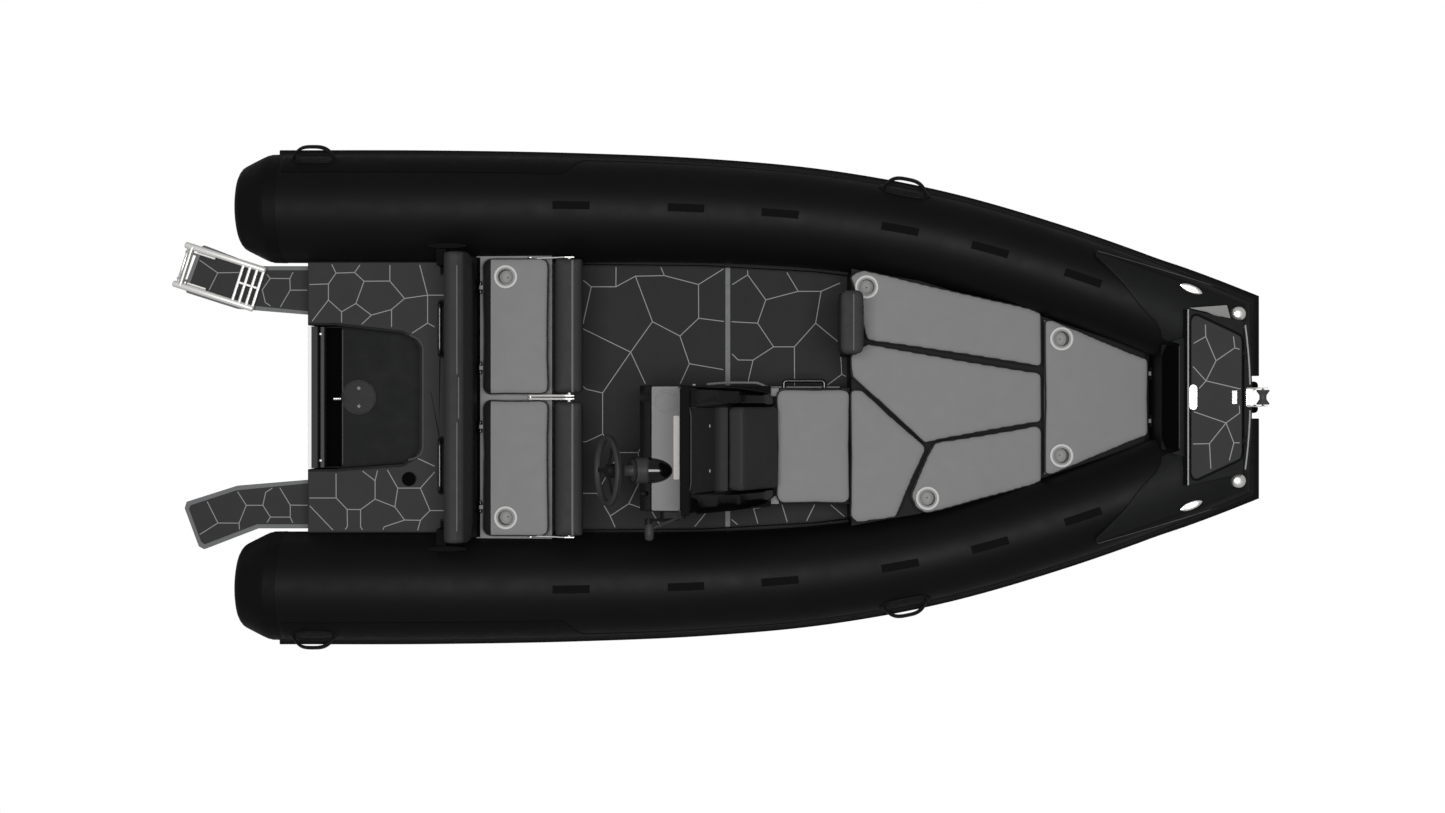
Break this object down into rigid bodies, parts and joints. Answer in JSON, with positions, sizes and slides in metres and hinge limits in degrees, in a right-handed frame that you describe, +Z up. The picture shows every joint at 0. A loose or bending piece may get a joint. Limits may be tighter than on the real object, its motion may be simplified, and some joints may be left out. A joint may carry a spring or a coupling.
{
  "type": "inflatable rib boat",
  "caption": "Rigid-hulled inflatable boat with air tubes, starboard steering console, padded seats, swim platforms and a folding boarding ladder.",
  "frame": {"origin": "on the waterline, on the centre line, amidships beside the console", "axes": "+X to the bow, +Y to port, +Z up from the water"},
  "size_m": [5.5562, 2.566, 1.583],
  "materials": {
    "tube_fabric": "matte",
    "strake_rubber": "satin",
    "hull_paint": "satin",
    "deck_moulding": "satin",
    "foam_pad": "matte",
    "light_moulding": "satin",
    "light_upholstery": "matte",
    "dark_upholstery": "matte",
    "stainless": "polished",
    "aluminium_grey": "brushed",
    "black_plastic": "matte",
    "screen": "tinted",
    "panel_beige": "satin",
    "white_ring": "gloss"
  },
  "bodies": {
    "boat": {"hull": "hull_paint", "port_tube": "tube_fabric", "starboard_tube": "tube_fabric", "bow_tube": "tube_fabric", "tube_end_cones": "tube_fabric", "rubbing_strake": "strake_rubber", "carry_handles": "strake_rubber", "aft_deck": "deck_moulding", "transom_plate": "aluminium_grey", "deck_plates": "black_plastic", "swim_platforms": "aluminium_grey", "ladder_bracket": "stainless", "bench_base": "light_moulding", "bench_fittings": "stainless", "rear_backrest": "dark_upholstery", "horn_cleats": "black_plastic", "towing_eyes": "stainless", "grab_rails": "stainless", "console": "deck_moulding", "switch_panel": "panel_beige", "windscreen": "screen", "windscreen_rail": "black_plastic", "helm": "black_plastic", "throttle": "black_plastic", "console_backrest": "dark_upholstery", "console_seat": "light_upholstery", "bow_seat_base": "deck_moulding", "bow_cushions": "light_upholstery", "cup_holders": "white_ring", "bow_hinges": "stainless", "bow_backrest": "dark_upholstery", "foredeck": "deck_moulding", "anchor_locker": "deck_moulding", "nav_lights": "stainless", "flush_cleats": "stainless", "anchor_bracket": "stainless", "deck_pads": "foam_pad", "floor_joint": "aluminium_grey"},
    "ladder": {"boarding_ladder": "stainless"},
    "bench_port": {"bench_lid_port": "light_moulding", "bench_cushion_port": "light_upholstery"},
    "bench_starboard": {"bench_lid_starboard": "light_moulding", "bench_cushion_starboard": "light_upholstery"},
    "roll_port": {"bolster_arms_port": "stainless", "bolster_port": "dark_upholstery"},
    "roll_starboard": {"bolster_arms_starboard": "stainless", "bolster_starboard": "dark_upholstery"},
    "wheel": {"steering_wheel": "black_plastic"},
    "bow_lid": {"bow_locker_lid": "light_moulding", "bow_locker_cushion": "light_upholstery"},
    "anchor_hatch": {"anchor_lid": "deck_moulding", "anchor_lid_pad": "foam_pad", "anchor_latch": "stainless"},
    "roller": {"anchor_roller": "black_plastic"}
  },
  "joints": [
    {"name": "ladder_fold", "type": "hinge", "parent": "boat", "child": "ladder", "pos_m": [-2.824, 0.692, 0.226], "axis": [-0.3057, -0.9521, 0], "range_deg": [0, 268]},
    {"name": "port_bench_lid", "type": "hinge", "parent": "boat", "child": "bench_port", "pos_m": [-1.232, 0, 0.514], "axis": [0, -1, 0], "range_deg": [0, 75]},
    {"name": "starboard_bench_lid", "type": "hinge", "parent": "boat", "child": "bench_starboard", "pos_m": [-1.232, 0, 0.514], "axis": [0, -1, 0], "range_deg": [0, 75]},
    {"name": "port_bolster_flip", "type": "hinge", "parent": "boat", "child": "roll_port", "pos_m": [-0.98, 0, 0.474], "axis": [0, -1, 0], "range_deg": [0, 65]},
    {"name": "starboard_bolster_flip", "type": "hinge", "parent": "boat", "child": "roll_starboard", "pos_m": [-0.98, 0, 0.474], "axis": [0, -1, 0], "range_deg": [0, 65]},
    {"name": "steering", "type": "hinge", "parent": "boat", "child": "wheel", "pos_m": [-0.55573, -0.358, 0.98742], "axis": [-0.9272, 0, 0.3746], "range_deg": [-720, 720]},
    {"name": "forward_locker_lid", "type": "hinge", "parent": "boat", "child": "bow_lid", "pos_m": [2.169, 0, 0.578], "axis": [0, 1, 0], "range_deg": [0, 75]},
    {"name": "anchor_hatch_lid", "type": "hinge", "parent": "boat", "child": "anchor_hatch", "pos_m": [2.551, 0, 0.963], "axis": [0, 1, 0], "range_deg": [0, 88]},
    {"name": "anchor_roller_spin", "type": "hinge", "parent": "boat", "child": "roller", "pos_m": [2.632, 0, 0.985], "axis": [0, 1, 0], "continuous": true}
  ]
}
